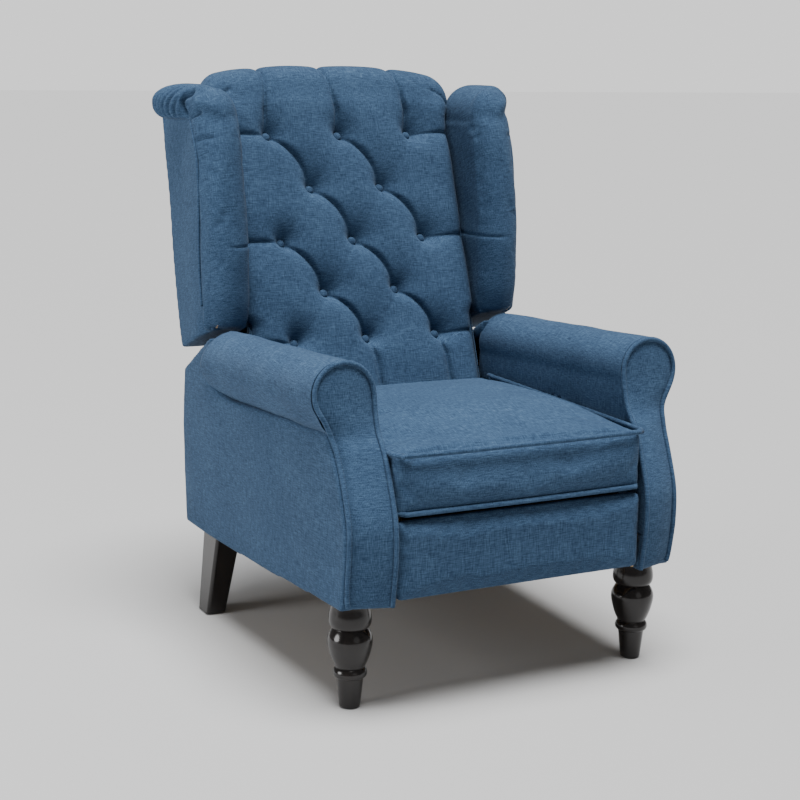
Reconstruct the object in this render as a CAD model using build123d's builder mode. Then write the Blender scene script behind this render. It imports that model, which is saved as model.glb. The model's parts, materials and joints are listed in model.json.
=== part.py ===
"""Push-back recliner armchair with a tufted wing back.

Frame: +Z is up, the chair faces -Y, X is left to right and the chair is mirrored about X = 0.
The origin is on the floor, under the middle of the chair's box.  Millimetres throughout.
"""

import os
from math import atan2, cos, degrees, radians, sin

from build123d import *

os.makedirs("parts", exist_ok=True)

# ---------------------------------------------------------------- driving dimensions
HALF_DEPTH = 430.5          # front of the footrest panel, and rear of the top roll
HALF_WIDTH = 369.5          # outside of the wing scrolls

# arms
ARM_INNER = 236.0           # inner face of each arm, from the middle
ARM_OUTER = 322.0           # outer face of each arm's side panel
ARM_FRONT = -340.0          # where the roll meets the arm's front facing
ARM_REAR = 266.0
ROLL_X = 289.0
ROLL_R = 55.0
ROLL_Z_FRONT = 517.0        # the roll falls a little towards the rear
ROLL_Z_REAR = 493.0
ROLL_REAR = 135.0
ARM_BOTTOM = 178.0
BASE_BOTTOM = 163.0         # underside of the arms at the rear

# seat and footrest
SEAT_HALF = 225.0
SEAT_FRONT = -421.0
CUSHION_BOTTOM = 328.0
CUSHION_GAP = 4.0           # between the cushion's rear face and the back pad
FOOTREST_HALF = 230.0
FOOTREST_BOTTOM = 192.0
FOOTREST_TOP = 322.0
FOOTREST_FRONT = -HALF_DEPTH
FOOTREST_BACK = -389.0

# back
RAKE = 19.4                 # degrees, the pad leans back from upright
PAD_FOOT = (130.0, 440.0)   # a point (y, z) on the pad's front face, just above the seat
PAD_THICK = 44.0
PAD_HALF = 240.0
PAD_HALF_LOW = 226.0        # between the arms
PAD_LOW = -75.0             # along the pad, below and above PAD_FOOT
PAD_WIDENS = 126.0
PAD_HIGH = 546.0
FRAME_FRONT = 47.0          # depth of the back frame's front face behind the pad's front face
FRAME_THICK = 34.0
STILE_INNER = 186.0
STILE_OUTER = 211.0
BUTTON_ROWS = ((481, 3), (376, 2), (273, 3), (173, 2), (80, 3))   # how far up each row is, and how many
BUTTON_PITCH = 149.5
BUTTON_R = 8.5
WING_PAD_X = (244.5, 289.0)
WING_FRAME_X = (290.0, 308.0)
WING_SHELL_X = (309.0, 328.0)

# legs
FRONT_LEG = (275.0, -345.0)
REAR_LEG = (306.0, 206.0)

# mechanism, side view points as (y, z), and the X layer of each flat bar
PLATE = 3.0
BAR = 4.0
PIN_R = 4.0
PIN_GAP = 0.06
X_BASE_PLATE = 230.0
X_ROCKER = 224.0
X_SEAT_PLATE = 218.0
X_THIGH = 211.0
X_SHIN = 205.0
X_ANKLE = 199.0
ROCKER = 90.0
ROCKER_REST = 14.0          # degrees, each rocker leans back at rest
ROCKER_TOPS = ((-120.0, 296.0), (130.0, 296.0))
HIP = (-300.0, 300.0)
THIGH = 130.0
THIGH_REST = 195.0          # degrees from forward, turning up
ANKLE = (-372.0, 235.0)
BACK_HINGE = (210.0, 333.0)


def save(piece, label):
    """Name a finished piece and write its STEP file."""
    piece.part.label = label
    export_step(piece.part, f"parts/{label}.step")


def side_profile(x):
    """The side view plane at x: local x is +Y, local y is +Z, and it extrudes towards +X."""
    return Plane(origin=(x, 0, 0), x_dir=(0, 1, 0), z_dir=(1, 0, 0))


def front_profile(y):
    """The front view plane at y: local x is +X, local y is +Z, and it extrudes towards -Y."""
    return Plane(origin=(0, y, 0), x_dir=(1, 0, 0), z_dir=(0, -1, 0))


def along(point, angle, length):
    """A point (y, z) at a distance from another; the angle is from forward (-Y), turning up."""
    return (point[0] - length * cos(radians(angle)), point[1] + length * sin(radians(angle)))


BACK = Plane(origin=(0, *PAD_FOOT), x_dir=(1, 0, 0),
             z_dir=(0, -cos(radians(RAKE)), sin(radians(RAKE))))


def back_point(up, deep):
    """A point (y, z) on the raked back, up along the pad and deep behind its front face."""
    spot = BACK.from_local_coords((0, up, -deep))
    return (spot.Y, spot.Z)


KNEE = along(HIP, THIGH_REST, THIGH)
ROCKER_FEET = [along(top, -90 + ROCKER_REST, ROCKER) for top in ROCKER_TOPS]

# ---------------------------------------------------------------- arm outlines
FACING_FRONT = [(-416, ARM_BOTTOM), (-424, 220), (-430.3, 268), (-429, 320), (-410, 374), (-387, 425),
                (-366, 456), (-354, 500), (-350, 545), (-349, 580)]


def facing_outline():
    """The rolled arm seen from the front: a stem with a round head."""
    with BuildLine() as stem:
        Polyline((ARM_INNER, 470), (ARM_INNER, ARM_BOTTOM + 8), (318, ARM_BOTTOM), (ARM_OUTER, 468),
                 (ARM_INNER, 470))
    make_face(stem.line)
    with Locations((ROLL_X, ROLL_Z_FRONT)):
        Circle(ROLL_R + 1)


def flat_box(x, y, z):
    """A box given by its (low, high) span on each axis."""
    with Locations(((x[0] + x[1]) / 2, (y[0] + y[1]) / 2, (z[0] + z[1]) / 2)):
        Box(x[1] - x[0], y[1] - y[0], z[1] - z[0])


def add_pair():
    """Repeat what the current part holds on the chair's other side."""
    mirror(about=Plane.YZ)


def save_sides(piece, label):
    """Write the right-hand piece, and its mirror image as the left-hand one."""
    save(piece, f"right_{label}")
    with BuildPart() as other:
        mirror(piece.part, about=Plane.YZ)
    save(other, f"left_{label}")


# ---------------------------------------------------------------- arm frames
RAIL_X = (X_BASE_PLATE + PLATE, 300)
POST_X = (252, 300)

with BuildPart() as arm_bottom_rails:
    flat_box(RAIL_X, (-310, 236), (ARM_BOTTOM, 222))
    add_pair()
save(arm_bottom_rails, "arm_bottom_rails")

with BuildPart() as arm_posts:
    for post_y in ((-338, -310), (236, 262)):
        flat_box(POST_X, post_y, (ARM_BOTTOM, 430))
    flat_box((264, 300), (-338, -310), (430, 487))
    flat_box((264, 300), (112, 132), (222, 465))
    add_pair()
save(arm_posts, "arm_posts")

TOP_RAIL_X = (262, 312)
TOP_RAIL_Z = (-27, 3)       # about the roll's axis


def roll_plane():
    """Across the arm roll at its front end, with the roll's slight fall to the rear."""
    run = ROLL_REAR - ARM_FRONT
    fall = ROLL_Z_REAR - ROLL_Z_FRONT
    return Plane(origin=(0, ARM_FRONT, ROLL_Z_FRONT), x_dir=(-1, 0, 0), z_dir=(0, run, fall))


ROLL_RUN = ROLL_REAR - ARM_FRONT
RAIL_MID = (TOP_RAIL_X[0] + TOP_RAIL_X[1]) / 2

with BuildPart() as arm_top_rails:
    with BuildSketch(roll_plane()):
        with Locations((-RAIL_MID, sum(TOP_RAIL_Z) / 2)):
            Rectangle(TOP_RAIL_X[1] - TOP_RAIL_X[0], TOP_RAIL_Z[1] - TOP_RAIL_Z[0])
    extrude(amount=ROLL_RUN - 4)
    with Locations((RAIL_MID, ARM_FRONT - 9, ROLL_Z_FRONT)):
        Box(80, 20, 120, mode=Mode.SUBTRACT)
    add_pair()
save(arm_top_rails, "arm_top_rails")

# ---------------------------------------------------------------- arm upholstery
with BuildPart() as arm_roll:
    with BuildSketch(roll_plane()):
        with Locations((-ROLL_X, 0)):
            Circle(ROLL_R)
        with Locations((-RAIL_MID, sum(TOP_RAIL_Z) / 2 - 30)):
            Rectangle(TOP_RAIL_X[1] - TOP_RAIL_X[0] + 1, TOP_RAIL_Z[1] - TOP_RAIL_Z[0] + 61,
                      mode=Mode.SUBTRACT)
    extrude(amount=ROLL_RUN)
    with Locations((ROLL_X, ARM_FRONT - 9.6, ROLL_Z_FRONT)):
        Box(160, 20, 160, mode=Mode.SUBTRACT)
save_sides(arm_roll, "arm_roll")

LEG_BLOCK_X = (246, 304)
LEG_BLOCK_Z = (ARM_BOTTOM, 214)

with BuildPart() as arm_facing:
    with BuildSketch(front_profile(ARM_FRONT)):
        facing_outline()
    extrude(amount=HALF_DEPTH + ARM_FRONT)
    with BuildSketch(side_profile(0)):
        with BuildLine():
            front_line = Spline(*FACING_FRONT)
            Polyline(front_line @ 1, (ARM_FRONT, 580), (ARM_FRONT, ARM_BOTTOM), front_line @ 0)
        make_face()
    extrude(amount=400, mode=Mode.INTERSECT)
    with Locations(((LEG_BLOCK_X[0] + LEG_BLOCK_X[1]) / 2, -360, 196)):
        Box(60, 44, 40, mode=Mode.SUBTRACT)
save_sides(arm_facing, "arm_facing")

with BuildPart() as arm_outer_panel:
    with BuildSketch(side_profile(306)):
        with BuildLine():
            Polyline((ARM_FRONT + 0.3, 452), (ARM_FRONT + 0.3, ARM_BOTTOM), (REAR_LEG[1], BASE_BOTTOM),
                     (284, BASE_BOTTOM), (ARM_REAR, 455), (138, 455), (138, 436), (109, 432), (-87, 439),
                     (ARM_FRONT + 0.3, 452))
        make_face()
    extrude(amount=ARM_OUTER - 306)
save_sides(arm_outer_panel, "arm_outer_panel")

with BuildPart() as arm_inner_panels:
    with BuildSketch(side_profile(ARM_INNER)):
        with BuildLine():
            Polyline((ARM_FRONT + 0.3, 440), (ARM_FRONT + 0.3, 246), (262, 246), (262, 455),
                     (ROLL_REAR + 2, 455), (ROLL_REAR + 2, 425), (ARM_FRONT + 0.3, 440))
        make_face()
    extrude(amount=10)
    add_pair()
save(arm_inner_panels, "arm_inner_panels")

with BuildPart() as arm_rear_pads:
    with BuildSketch(side_profile(ARM_INNER)):
        with BuildLine():
            Polyline((ROLL_REAR + 3, 540), (ROLL_REAR + 3, 469), (236, 456), (ARM_REAR, 456),
                     (ARM_REAR, 467), (ROLL_REAR + 3, 540))
        make_face()
    extrude(amount=336 - ARM_INNER)
    add_pair()
save(arm_rear_pads, "arm_rear_pads")

with BuildPart() as arm_rear_panels:
    with BuildSketch(side_profile(ARM_INNER)):
        with BuildLine():
            Polyline((262, 246), (262, 455), (ARM_REAR - 0.2, 455), (279.6, 246), (262, 246))
        make_face()
    extrude(amount=306 - ARM_INNER)
    add_pair()
save(arm_rear_panels, "arm_rear_panels")

# ---------------------------------------------------------------- cross members under the seat
with BuildPart() as base_stretcher:
    flat_box((-X_BASE_PLATE, X_BASE_PLATE), (20, 44), (ARM_BOTTOM, 236))
save(base_stretcher, "base_stretcher")

with BuildPart() as rear_rail:
    flat_box((-ARM_INNER + 3, ARM_INNER - 3), (262, 280), (165, 280))
save(rear_rail, "rear_rail")

with BuildPart() as rear_rail_cover:
    flat_box((-ARM_INNER + 1, ARM_INNER - 1), (280, 286), (160, 284))
save(rear_rail_cover, "rear_rail_cover")

# ---------------------------------------------------------------- legs
LEG_TOP = BASE_BOTTOM - 5
BOLT_R = 4.0

with BuildPart() as leg_blocks:
    flat_box(LEG_BLOCK_X, (-380, -338), LEG_BLOCK_Z)
    flat_box((252, 304), (REAR_LEG[1] - 28, 235.5), (LEG_TOP, ARM_BOTTOM))
    with Locations((276, REAR_LEG[1], 170)):
        Cylinder(BOLT_R + 0.05, 30, mode=Mode.SUBTRACT)
    add_pair()
save(leg_blocks, "leg_blocks")

FRONT_LEG_SHAPE = ((0, 17), (4, 17.5), (51, 22.5), (54, 27), (61, 28), (66, 26), (68.5, 24),
                   (80, 29.5), (100, 35.5), (118, 36.8), (128, 33), (135, 28.5), (139, 33),
                   (152, 35.3), (166, 33), (ARM_BOTTOM, 31))

with BuildPart() as front_leg:
    with BuildSketch(Plane(origin=(FRONT_LEG[0], FRONT_LEG[1], 0), x_dir=(1, 0, 0), z_dir=(0, -1, 0))):
        with BuildLine():
            bulb = [(radius, height) for height, radius in FRONT_LEG_SHAPE]
            Polyline((0, 2), (bulb[0][0], 2), *bulb[1:3])
            Spline(*bulb[2:7])
            Spline(*bulb[6:12])
            Spline(*bulb[11:16])
            Polyline(bulb[-1], (0, ARM_BOTTOM), (0, 2))
        make_face()
    revolve(axis=Axis((FRONT_LEG[0], FRONT_LEG[1], 0), (0, 0, 1)))
    with Locations((FRONT_LEG[0], FRONT_LEG[1], ARM_BOTTOM - 12.5)):
        Cylinder(BOLT_R + 0.05, 25, mode=Mode.SUBTRACT)
save_sides(front_leg, "front_leg")

with BuildPart() as rear_leg:
    with BuildSketch(Plane.XY.offset(2)):
        with Locations((307, 204)):
            RectangleRounded(38, 50, 6)
    with BuildSketch(Plane.XY.offset(LEG_TOP)):
        with Locations((284, 203)):
            RectangleRounded(50, 74, 6)
    loft()
    with Locations((276, REAR_LEG[1], LEG_TOP - 10)):
        Cylinder(BOLT_R + 0.05, 20, mode=Mode.SUBTRACT)
save_sides(rear_leg, "rear_leg")

with BuildPart() as leg_glides:
    with Locations((FRONT_LEG[0], FRONT_LEG[1], 1)):
        Cylinder(14, 2)
    with Locations((307, 204, 1)):
        Cylinder(14, 2)
    add_pair()
save(leg_glides, "leg_glides")

with BuildPart() as hanger_bolts:
    with Locations((FRONT_LEG[0], FRONT_LEG[1], ARM_BOTTOM - 12.5)):
        Cylinder(BOLT_R, 24.9)
    with Locations((276, REAR_LEG[1], LEG_TOP)):
        Cylinder(BOLT_R, 39)
    add_pair()
save(hanger_bolts, "hanger_bolts")


# ---------------------------------------------------------------- mechanism helpers
def bar(x, thick, start, end, half_width):
    """A flat link with round ends, bored at both ends for its pins."""
    with BuildSketch(side_profile(x)) as outline:
        for spot in (start, end):
            with Locations(spot):
                Circle(half_width)
        middle = ((start[0] + end[0]) / 2, (start[1] + end[1]) / 2)
        reach = ((end[0] - start[0]) ** 2 + (end[1] - start[1]) ** 2) ** 0.5
        with Locations(Location((*middle, 0), (0, 0, degrees(atan2(end[1] - start[1], end[0] - start[0]))))):
            Rectangle(reach, 2 * half_width)
        with Locations(start, end):
            Circle(PIN_R + PIN_GAP, mode=Mode.SUBTRACT)
    extrude(outline.sketch, amount=thick)


def disc(x, spot, radius, height):
    """A round boss along X."""
    with BuildSketch(side_profile(x)) as outline:
        with Locations(spot):
            Circle(radius)
    extrude(outline.sketch, amount=height)


def rivet(x_from, x_to, spot, *heads):
    """A pin along X; each head is (x, height) and stands outside the parts that the pin joins."""
    disc(x_from, spot, PIN_R, x_to - x_from)
    for head_x, height in heads:
        disc(head_x, spot, PIN_R + 3, height)


def plate_holes(x, spots):
    """Bore a plate along X at each spot."""
    with BuildSketch(side_profile(x - 6)) as holes:
        with Locations(*spots):
            Circle(PIN_R + PIN_GAP)
    extrude(holes.sketch, amount=16, mode=Mode.SUBTRACT)


# ---------------------------------------------------------------- base plates and rockers
with BuildPart() as mech_base_plates:
    with BuildSketch(side_profile(X_BASE_PLATE)):
        with BuildLine():
            Polyline((-190, ARM_BOTTOM + 2), (170, ARM_BOTTOM + 2), (170, 228), (-190, 228),
                     (-190, ARM_BOTTOM + 2))
        make_face()
    extrude(amount=PLATE)
    plate_holes(X_BASE_PLATE, ROCKER_FEET)
    add_pair()
save(mech_base_plates, "mech_base_plates")

for label, foot, top in zip(("front", "rear"), ROCKER_FEET, ROCKER_TOPS):
    with BuildPart() as rocker_links:
        bar(X_ROCKER, BAR, foot, top, 13)
        add_pair()
    save(rocker_links, f"{label}_rocker_links")

with BuildPart() as rocker_foot_rivets:
    for foot in ROCKER_FEET:
        rivet(X_ROCKER - 2.5, X_BASE_PLATE + PLATE, foot, (X_ROCKER - 2.5, 2), (X_ROCKER + BAR + 0.5, 1))
    add_pair()
save(rocker_foot_rivets, "rocker_foot_rivets")

# ---------------------------------------------------------------- seat frame
SEAT_RAIL_X = (176, 196)
SEAT_RAIL_Z = (297, 321)
SEAT_RAIL_Y = (-362, 186)
SPACER_Y = (-100, 60)

with BuildPart() as seat_side_plates:
    with BuildSketch(side_profile(X_SEAT_PLATE)):
        with BuildLine():
            Polyline((HIP[0] - 16, 289), (HIP[0] - 16, 313), (172, 313), (196, 340), (224, 340), (224, 326),
                     (196, 286), (-120, 283), (HIP[0] - 16, 289))
        make_face()
        with Locations(BACK_HINGE):
            Circle(15)
    extrude(amount=PLATE)
    plate_holes(X_SEAT_PLATE, [*ROCKER_TOPS, HIP, BACK_HINGE])
    add_pair()
save(seat_side_plates, "seat_side_plates")

with BuildPart() as seat_frame_rails:
    for x in (-SEAT_RAIL_X[1], SEAT_RAIL_X[0]):
        flat_box((x, x + 20), SEAT_RAIL_Y, SEAT_RAIL_Z)
    flat_box((-SEAT_RAIL_X[1], SEAT_RAIL_X[1]), (SEAT_RAIL_Y[0] - 22, SEAT_RAIL_Y[0] - 0.1), SEAT_RAIL_Z)
    flat_box((0.1 - SEAT_RAIL_X[0], SEAT_RAIL_X[0] - 0.1), (SEAT_RAIL_Y[1] - 22, SEAT_RAIL_Y[1]), SEAT_RAIL_Z)
save(seat_frame_rails, "seat_frame_rails")

with BuildPart() as seat_spacers:
    for y in SPACER_Y:
        with BuildSketch(side_profile(SEAT_RAIL_X[1])):
            with Locations((y, 306)):
                Circle(9)
        extrude(amount=X_SEAT_PLATE - SEAT_RAIL_X[1])
    add_pair()
save(seat_spacers, "seat_spacers")

with BuildPart() as rocker_top_rivets:
    for top in ROCKER_TOPS:
        rivet(X_SEAT_PLATE - 2, X_ROCKER + BAR + 1.2, top, (X_SEAT_PLATE - 2, 2), (X_ROCKER + BAR + 0.2, 1))
    add_pair()
save(rocker_top_rivets, "rocker_top_rivets")

# ---------------------------------------------------------------- seat suspension and cushion
SPRING_WIRE = 1.9
SPRING_STEP = 34.6
SPRING_HALF = 19.0
SPRING_X = (-136, -68, 0, 68, 136)
SPRING_Z = SEAT_RAIL_Z[1] + SPRING_WIRE
SPRING_START = SEAT_RAIL_Y[0] - 14.0
SPRING_TURNS = 33

with BuildPart() as seat_springs:
    with BuildLine() as spring_path:
        turn = SPRING_STEP / 2
        side = SPRING_HALF - turn / 2
        for bend in range(SPRING_TURNS):
            reach = side if bend % 2 else -side
            y = SPRING_START + turn * bend
            Line((-reach, y, SPRING_Z), (reach, y, SPRING_Z))
            if bend < SPRING_TURNS - 1:
                bulge = reach + (turn / 2 if reach > 0 else -turn / 2)
                ThreePointArc((reach, y, SPRING_Z), (bulge, y + turn / 2, SPRING_Z),
                              (reach, y + turn, SPRING_Z))
    with BuildSketch(Plane(origin=spring_path.line @ 0, z_dir=spring_path.line % 0)):
        Circle(SPRING_WIRE)
    sweep()
    first = seat_springs.part
    for x in SPRING_X:
        if x:
            add(first.moved(Location((x, 0, 0))))
save(seat_springs, "seat_springs")

CLIP_Y = (SPRING_START, SPRING_START + SPRING_STEP / 2 * (SPRING_TURNS - 1))
with BuildPart() as spring_clips:
    for x in SPRING_X:
        for y in CLIP_Y:
            with Locations((x, y, SPRING_Z + SPRING_WIRE + 0.6)):
                Box(14, 12, 1.2)
save(spring_clips, "spring_clips")

with BuildPart() as seat_deck:
    flat_box((-205, 205), (-388, 60), (SPRING_Z + SPRING_WIRE + 1.2, CUSHION_BOTTOM))
save(seat_deck, "seat_deck")

with BuildPart() as seat_cushion:
    rear_top = back_point(-12, 0)
    rear_low = back_point((CUSHION_BOTTOM - PAD_FOOT[1]) / cos(radians(RAKE)), 0)
    with BuildSketch(side_profile(-SEAT_HALF)):
        with BuildLine():
            Polyline((SEAT_FRONT, CUSHION_BOTTOM), (SEAT_FRONT, 428), (-400, 440))
            Spline((-400, 440), (-200, 456), (0, 446), (rear_top[0] - CUSHION_GAP, rear_top[1]))
            Polyline((rear_top[0] - CUSHION_GAP, rear_top[1]), (rear_low[0] - CUSHION_GAP, CUSHION_BOTTOM),
                     (SEAT_FRONT, CUSHION_BOTTOM))
        make_face()
    extrude(amount=2 * SEAT_HALF)
save(seat_cushion, "seat_cushion")

# ---------------------------------------------------------------- footrest linkage
with BuildPart() as thigh_rivets:
    rivet(X_THIGH - 1.6, X_SEAT_PLATE + PLATE + 1.6, HIP, (X_THIGH - 1.6, 1.4),
          (X_SEAT_PLATE + PLATE + 0.2, 1.4))
    add_pair()
save(thigh_rivets, "thigh_rivets")

TUBE_AT = along(HIP, THIGH_REST, 70)
TUBE_R = 6.0

with BuildPart() as thigh_links:
    bar(X_THIGH, BAR, HIP, KNEE, 11)
    add_pair()
save(thigh_links, "thigh_links")

with BuildPart() as torque_tube:
    with BuildSketch(side_profile(-X_THIGH)):
        with Locations(TUBE_AT):
            Circle(TUBE_R)
            Circle(TUBE_R - 1.5, mode=Mode.SUBTRACT)
    extrude(amount=2 * X_THIGH)
save(torque_tube, "torque_tube")

with BuildPart() as knee_rivets:
    rivet(X_SHIN - 1.6, X_THIGH + BAR + 1.4, KNEE, (X_SHIN - 1.6, 1.4), (X_THIGH + BAR, 1.4))
    add_pair()
save(knee_rivets, "knee_rivets")

with BuildPart() as shin_links:
    bar(X_SHIN, BAR, KNEE, ANKLE, 11)
    add_pair()
save(shin_links, "shin_links")

with BuildPart() as ankle_rivets:
    rivet(X_ANKLE - 1.6, X_SHIN + BAR + 1.4, ANKLE, (X_ANKLE - 1.6, 1.4), (X_SHIN + BAR, 1.4))
    add_pair()
save(ankle_rivets, "ankle_rivets")

BRACKET_Z = (FOOTREST_BOTTOM + 22, FOOTREST_TOP - 26)

with BuildPart() as footrest_brackets:
    with BuildSketch(side_profile(X_ANKLE)):
        with Locations(ANKLE):
            Circle(12)
        with BuildLine():
            Polyline((ANKLE[0], ANKLE[1] + 12), (FOOTREST_BACK, BRACKET_Z[1]), (FOOTREST_BACK, BRACKET_Z[0]),
                     (ANKLE[0], ANKLE[1] - 12), (ANKLE[0], ANKLE[1] + 12))
        make_face()
    extrude(amount=BAR)
    flat_box((X_ANKLE - 16, X_ANKLE + BAR), (FOOTREST_BACK, FOOTREST_BACK + PLATE), BRACKET_Z)
    plate_holes(X_ANKLE, [ANKLE])
    add_pair()
save(footrest_brackets, "footrest_brackets")

BOARD_FRONT = FOOTREST_BACK - 12

with BuildPart() as footrest_board:
    flat_box((-FOOTREST_HALF + 8, FOOTREST_HALF - 8), (BOARD_FRONT, FOOTREST_BACK),
             (FOOTREST_BOTTOM + 6, FOOTREST_TOP - 6))
save(footrest_board, "footrest_board")

with BuildPart() as footrest_pad:
    flat_box((-FOOTREST_HALF, FOOTREST_HALF), (FOOTREST_FRONT, BOARD_FRONT), (FOOTREST_BOTTOM, FOOTREST_TOP))
    fillet(footrest_pad.edges().filter_by(Axis.X).group_by(Axis.Y)[0], radius=12)
save(footrest_pad, "footrest_pad")

# ---------------------------------------------------------------- back frame
BRACKET_UP = (-52, 60)


def on_back(deep):
    """The plane at a depth behind the pad's front face; it extrudes towards the front."""
    return BACK.offset(-deep)


with BuildPart() as back_stiles:
    with BuildSketch(on_back(FRAME_FRONT + FRAME_THICK)):
        with Locations(((STILE_INNER + STILE_OUTER) / 2, 224)):
            Rectangle(STILE_OUTER - STILE_INNER, 2 * 276)
    extrude(amount=FRAME_THICK)
    add_pair()
save(back_stiles, "back_stiles")

STRUT_MID = (STILE_OUTER + WING_FRAME_X[0]) / 2      # struts that carry the wings

with BuildPart() as back_rails:
    with BuildSketch(on_back(FRAME_FRONT + FRAME_THICK)):
        for up in (-26, 232, 478):
            with Locations((0, up)):
                Rectangle(2 * STILE_INNER, 44)
        for up in (232, 478):
            with Locations((-STRUT_MID, up), (STRUT_MID, up)):
                Rectangle(WING_FRAME_X[0] - STILE_OUTER - 0.4, 44)
    extrude(amount=FRAME_THICK - 6)
save(back_rails, "back_rails")

with BuildPart() as back_webbing:
    with BuildSketch(on_back(FRAME_FRONT)):
        for up in (52, 130, 330, 408):
            with Locations((0, up)):
                Rectangle(2 * STILE_OUTER - 8, 50)
    extrude(amount=2)
save(back_webbing, "back_webbing")

with BuildPart() as back_brackets:
    low = back_point(BRACKET_UP[0], FRAME_FRONT + 8)
    high = back_point(BRACKET_UP[1], FRAME_FRONT + 8)
    high_rear = back_point(BRACKET_UP[1], FRAME_FRONT + 36)
    with BuildSketch(side_profile(STILE_OUTER)):
        with BuildLine():
            Polyline((BACK_HINGE[0], BACK_HINGE[1] - 13), low, high, high_rear,
                     (BACK_HINGE[0] + 13, BACK_HINGE[1]), (BACK_HINGE[0], BACK_HINGE[1] - 13))
        make_face()
        with Locations(BACK_HINGE):
            Circle(13)
    extrude(amount=PLATE)
    plate_holes(STILE_OUTER, [BACK_HINGE])
    add_pair()
save(back_brackets, "back_brackets")

with BuildPart() as back_hinge_pins:
    rivet(STILE_OUTER - 2, X_SEAT_PLATE + PLATE + 1.6, BACK_HINGE, (STILE_OUTER - 2, 1.8),
          (X_SEAT_PLATE + PLATE + 0.2, 1.4))
    add_pair()
save(back_hinge_pins, "back_hinge_pins")

# ---------------------------------------------------------------- back upholstery
BUTTON_DEEP = 26.0
BUTTON_THICK = 8.0
BUTTON_SPOTS = [(BUTTON_PITCH * (k - (count - 1) / 2), up) for up, count in BUTTON_ROWS for k in range(count)]

with BuildPart() as back_pad:
    with BuildSketch(on_back(PAD_THICK)):
        with Locations((0, (PAD_WIDENS + PAD_HIGH) / 2)):
            Rectangle(2 * PAD_HALF, PAD_HIGH - PAD_WIDENS)
        with Locations((0, (PAD_LOW + PAD_WIDENS) / 2)):
            Rectangle(2 * PAD_HALF_LOW, PAD_WIDENS - PAD_LOW)
    extrude(amount=PAD_THICK)
    with BuildSketch(on_back(BUTTON_DEEP)):
        with Locations(*BUTTON_SPOTS):
            Circle(BUTTON_R + 5)
    extrude(amount=BUTTON_DEEP, mode=Mode.SUBTRACT)
save(back_pad, "back_pad")

with BuildPart() as back_buttons:
    with BuildSketch(on_back(BUTTON_DEEP)):
        with Locations(*BUTTON_SPOTS):
            Circle(BUTTON_R)
    extrude(amount=BUTTON_THICK)
    fillet(back_buttons.edges().group_by(Axis(BACK.origin, BACK.z_dir))[-1], radius=4)
save(back_buttons, "back_buttons")

TOP_PAD = ((551, -4), (602, -12), (627, -34), (635, -62), (615, -101.5), (551, -84))

with BuildPart() as back_top_pad:
    with BuildSketch(side_profile(-PAD_HALF)):
        with BuildLine():
            outline = [back_point(up, -depth) for up, depth in TOP_PAD]
            Polyline(outline[-1], outline[0], outline[1])
            Spline(*outline[1:5])
            Line(outline[4], outline[5])
        make_face()
    extrude(amount=2 * PAD_HALF)
save(back_top_pad, "back_top_pad")

OUTER_BACK = ((280, 306), (291, 497), (383, 912))
OUTER_THICK = 8.0
OUTER_HALF = 308.0

with BuildPart() as outer_back_panel:
    with BuildSketch(side_profile(-OUTER_HALF)):
        with BuildLine():
            Polyline(*OUTER_BACK, (OUTER_BACK[2][0] + OUTER_THICK, OUTER_BACK[2][1] - 3),
                     (OUTER_BACK[1][0] + OUTER_THICK, OUTER_BACK[1][1] - 2),
                     (OUTER_BACK[0][0] + OUTER_THICK, OUTER_BACK[0][1]), OUTER_BACK[0])
        make_face()
    extrude(amount=2 * OUTER_HALF)
    for x in (-1, 1):
        with Locations((x * (PAD_HALF_LOW + 50), 290, 400)):
            Box(100, 80, 210, mode=Mode.SUBTRACT)
save(outer_back_panel, "outer_back_panel")

# ---------------------------------------------------------------- wings
WING_TOP = 925.0
WING_FRONT = ((139, 557), (131, 600), (131, 680), (140, 770), (155, 850), (178, WING_TOP))
WING_UNDERSIDE = ((174, 545), (299, 497))
WING_REAR_TOP = (393, WING_TOP)
PAD_REAR = [back_point((z - PAD_FOOT[1]) / cos(radians(RAKE)) + 14, 40) for z in (532, WING_TOP)]


def under_wing(y):
    """The height of the wing's sloping underside."""
    (front_y, front_z), (rear_y, rear_z) = WING_UNDERSIDE
    return front_z + (rear_z - front_z) * (y - front_y) / (rear_y - front_y)


def wing_outline(inset, rear_low_y, rear_high_y):
    """The wing seen from the side, its front edge moved back by an inset."""
    front = [(y + inset, z) for y, z in WING_FRONT]
    corner_y = max(front[0][0], WING_UNDERSIDE[0][0])
    with BuildLine() as edge:
        Spline(*front)
        Polyline(front[-1], (rear_high_y, WING_TOP), (rear_low_y, under_wing(rear_low_y)),
                 (corner_y, under_wing(corner_y)), front[0])
    make_face(edge.line)


for label, span, inset, rear in (("frame", WING_FRAME_X, 16, (289, 381)),
                                 ("pad", WING_PAD_X, 0, (PAD_REAR[0][0], PAD_REAR[1][0])),
                                 ("outer_panel", WING_SHELL_X, 54, (WING_UNDERSIDE[1][0], WING_REAR_TOP[0]))):
    with BuildPart() as wing_piece:
        with BuildSketch(side_profile(span[0])):
            wing_outline(inset, *rear)
        extrude(amount=span[1] - span[0])
    save_sides(wing_piece, f"wing_{label}")

SCROLL_R = 31.0
SCROLL_X = HALF_WIDTH - SCROLL_R
SCROLL_Z = WING_TOP + 1 + SCROLL_R
SCROLL_INNER = 246.0
SCROLL_Y = (188, 352)

with BuildPart() as wing_scroll:
    with BuildSketch(front_profile(SCROLL_Y[1])):
        with Locations((SCROLL_X, SCROLL_Z)):
            Circle(SCROLL_R)
        with Locations(((SCROLL_X + SCROLL_INNER) / 2, SCROLL_Z)):
            Rectangle(SCROLL_X - SCROLL_INNER, 2 * SCROLL_R - 6)
    extrude(amount=SCROLL_Y[1] - SCROLL_Y[0])
save_sides(wing_scroll, "wing_scroll")
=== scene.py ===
"""Looks of the push-back recliner armchair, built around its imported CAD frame.  Metres throughout."""

import json
from math import cos, pi, radians, sin, sqrt

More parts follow.
